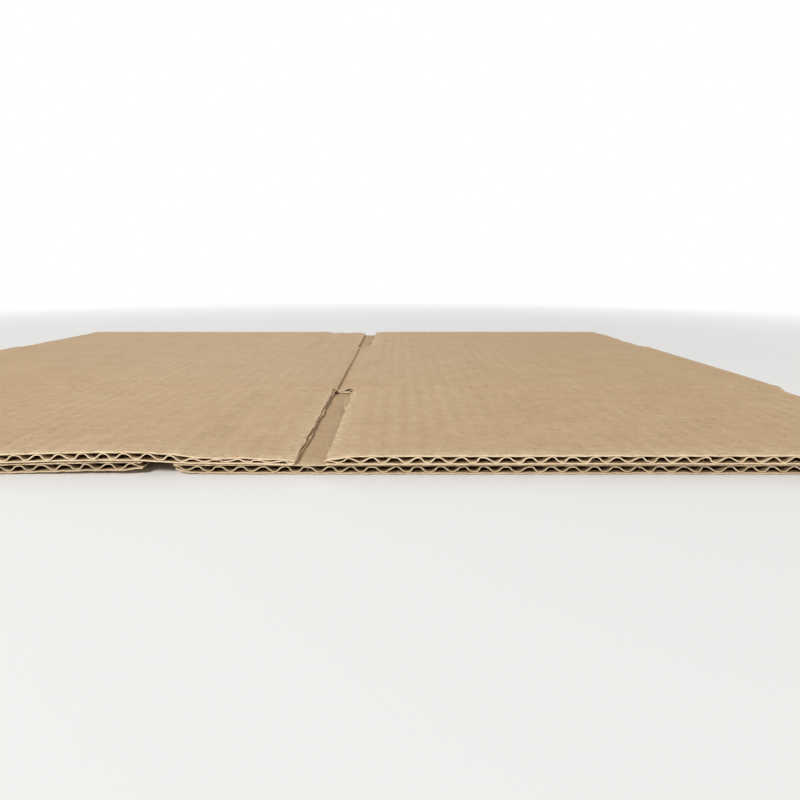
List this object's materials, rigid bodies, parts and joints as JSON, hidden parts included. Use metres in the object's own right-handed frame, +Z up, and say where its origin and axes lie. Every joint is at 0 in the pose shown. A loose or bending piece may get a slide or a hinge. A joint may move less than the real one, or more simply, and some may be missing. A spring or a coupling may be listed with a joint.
{
  "type": "flattened cardboard box",
  "caption": "Slotted carton of single wall corrugated board, glued at one lap and folded flat, with flap slots, score lines and open flute edges.",
  "frame": {"origin": "on the floor, under the middle of the flattened box", "axes": "+X across the panels from fold to fold, +Y along the flutes from one row of flaps to the other, +Z up from the floor through both layers of board"},
  "size_m": [0.455, 0.355, 0.006],
  "materials": {
    "kraft_board": "plain brown kraft paper, matt"
  },
  "bodies": {
    "root": {"flattened_box": "kraft_board"}
  },
  "joints": []
}
